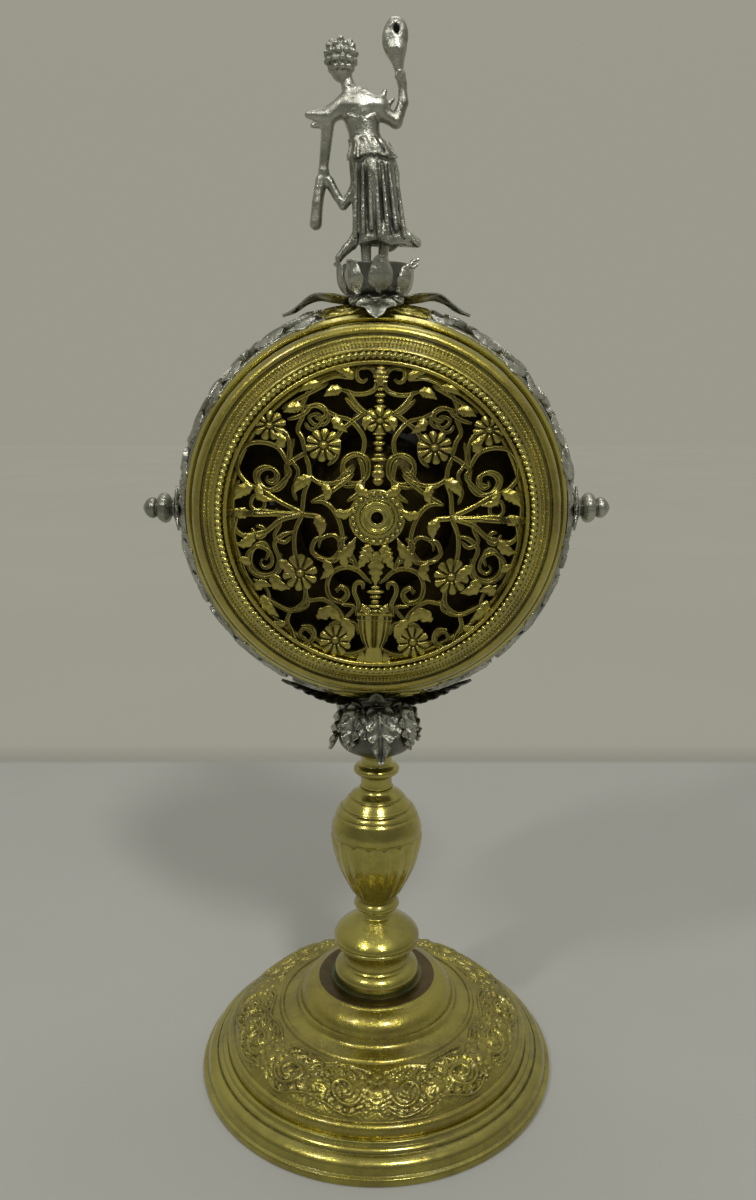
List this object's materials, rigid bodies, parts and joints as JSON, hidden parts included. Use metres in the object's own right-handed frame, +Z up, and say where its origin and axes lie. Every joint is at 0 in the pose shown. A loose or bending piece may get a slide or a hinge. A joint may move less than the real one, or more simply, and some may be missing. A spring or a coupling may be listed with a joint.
{
  "type": "table alarm clock",
  "caption": "Renaissance-style standing table alarm clock: drum case with pierced cover and band on a turned stem and round foot, cast figure on top.",
  "frame": {"origin": "middle of the round foot's underside, on the table", "axes": "+Z up, the pierced sounding cover faces -Y, the dial faces +Y"},
  "size_m": [0.1322, 0.1094, 0.3013],
  "materials": {
    "gilt_brass": "fire gilding, worn, with engraved and embossed ornament",
    "silver": "cast and chased silver, tarnished in the recesses",
    "brass": "filed brass",
    "steel": "forged and filed steel",
    "blued_steel": "blued steel",
    "patinated_copper": "dark copper with green patina"
  },
  "bodies": {
    "case": {"base_plinth": "gilt_brass", "base_dome": "gilt_brass", "seat_ring": "patinated_copper", "stem_foot": "gilt_brass", "stem_baluster": "gilt_brass", "stem_neck": "gilt_brass", "tie_rod": "steel", "rod_washer": "gilt_brass", "square_nuts": "steel", "capital_bowl": "silver", "capital_leaves": "silver", "neck_block": "steel", "bottom_saddle": "silver", "case_band": "silver", "rim_back": "gilt_brass", "rim_front": "gilt_brass", "side_cuffs": "silver", "finial_left": "silver", "finial_right": "silver", "top_saddle": "silver", "calyx_cup": "silver", "figure_screw": "steel", "figure": "silver", "held_mirror": "silver", "front_bezel": "gilt_brass", "dial_plate": "gilt_brass", "dial_feet": "gilt_brass", "chapter_ring": "silver", "touch_pins": "gilt_brass", "back_plate": "gilt_brass", "front_plate": "gilt_brass", "pillars": "gilt_brass", "going_spring_box": "brass", "alarm_spring_box": "brass", "going_mainspring": "blued_steel", "alarm_mainspring": "blued_steel", "potence": "brass", "balance_cock": "gilt_brass", "bell": "gilt_brass", "bell_stand": "steel"},
    "back_cover": {"back_bezel": "gilt_brass", "back_twist": "gilt_brass", "back_grille": "gilt_brass", "back_rosette": "gilt_brass"},
    "going_wheel": {"great_wheel": "brass"},
    "going_winder": {"going_arbor": "steel"},
    "going_pawl": {"going_click": "steel"},
    "second": {"second_wheel": "brass"},
    "contrate": {"contrate_wheel": "brass"},
    "crown": {"crown_wheel": "brass"},
    "verge": {"balance": "steel"},
    "hour": {"hour_wheel": "steel", "hour_hand": "blued_steel"},
    "alarm_dial": {"alarm_disc": "silver"},
    "alarm_great": {"alarm_wheel": "brass"},
    "alarm_winder": {"alarm_arbor": "steel"},
    "alarm_pawl": {"alarm_click": "steel"},
    "alarm_runner": {"alarm_escape": "brass"},
    "hammer": {"alarm_hammer": "steel"},
    "detent": {"alarm_detent": "steel"}
  },
  "joints": [
    {"name": "back_cover_slide", "type": "slide", "parent": "case", "child": "back_cover", "axis": [0, -1, 0], "range_m": [0, 0.03]},
    {"name": "going_train", "type": "hinge", "parent": "case", "child": "going_wheel", "pos_m": [-0.028, 0, 0.178], "axis": [0, 1, 0], "continuous": true},
    {"name": "going_winding", "type": "hinge", "parent": "going_wheel", "child": "going_winder", "pos_m": [-0.028, 0, 0.178], "axis": [0, 1, 0], "range_deg": [0, 1080]},
    {"name": "going_click_lift", "type": "hinge", "parent": "going_wheel", "child": "going_pawl", "pos_m": [-0.028, 0, 0.1856], "axis": [0, -1, 0], "range_deg": [0, 14], "stiffness_Nm_per_rad": 0.0005, "springref_deg": -17.19},
    {"name": "second_wheel_turn", "type": "hinge", "parent": "case", "child": "second", "pos_m": [-0.01836, 0, 0.16651], "axis": [0, 1, 0], "continuous": true},
    {"name": "contrate_wheel_turn", "type": "hinge", "parent": "case", "child": "contrate", "pos_m": [-0.0097, 0, 0.16151], "axis": [0, 1, 0], "continuous": true},
    {"name": "crown_wheel_turn", "type": "hinge", "parent": "case", "child": "crown", "pos_m": [-0.0097, -0.003, 0.16151], "axis": [0, 0, 1], "continuous": true},
    {"name": "balance_swing", "type": "hinge", "parent": "case", "child": "verge", "pos_m": [-0.0097, 0, 0.17671], "axis": [0, 1, 0], "range_deg": [-45, 45]},
    {"name": "hour_hand_turn", "type": "hinge", "parent": "case", "child": "hour", "pos_m": [0, 0, 0.175], "axis": [0, 1, 0], "continuous": true},
    {"name": "alarm_disc_set", "type": "hinge", "parent": "hour", "child": "alarm_dial", "pos_m": [0, 0, 0.175], "axis": [0, 1, 0], "continuous": true},
    {"name": "alarm_train", "type": "hinge", "parent": "case", "child": "alarm_great", "pos_m": [0.028, 0, 0.178], "axis": [0, 1, 0], "continuous": true},
    {"name": "alarm_winding", "type": "hinge", "parent": "alarm_great", "child": "alarm_winder", "pos_m": [0.028, 0, 0.178], "axis": [0, 1, 0], "range_deg": [0, 1080]},
    {"name": "alarm_click_lift", "type": "hinge", "parent": "alarm_great", "child": "alarm_pawl", "pos_m": [0.028, 0, 0.1856], "axis": [0, -1, 0], "range_deg": [0, 14], "stiffness_Nm_per_rad": 0.0005, "springref_deg": -17.19},
    {"name": "alarm_escape_turn", "type": "hinge", "parent": "case", "child": "alarm_runner", "pos_m": [0.01836, 0, 0.18949], "axis": [0, 1, 0], "continuous": true},
    {"name": "hammer_swing", "type": "hinge", "parent": "case", "child": "hammer", "pos_m": [0.0097, 0, 0.19449], "axis": [0, -1, 0], "range_deg": [-8, 10]},
    {"name": "detent_swing", "type": "hinge", "parent": "case", "child": "detent", "pos_m": [0.024, 0, 0.197], "axis": [0, 1, 0], "range_deg": [-3, 4]}
  ],
  "couplings": [
    {"joint": "second_wheel_turn", "follows": "going_train", "ratio": -4},
    {"joint": "contrate_wheel_turn", "follows": "going_train", "ratio": 12},
    {"joint": "crown_wheel_turn", "follows": "going_train", "ratio": -24},
    {"joint": "hour_hand_turn", "follows": "going_train", "ratio": -0.33333},
    {"joint": "alarm_escape_turn", "follows": "alarm_train", "ratio": -4}
  ]
}
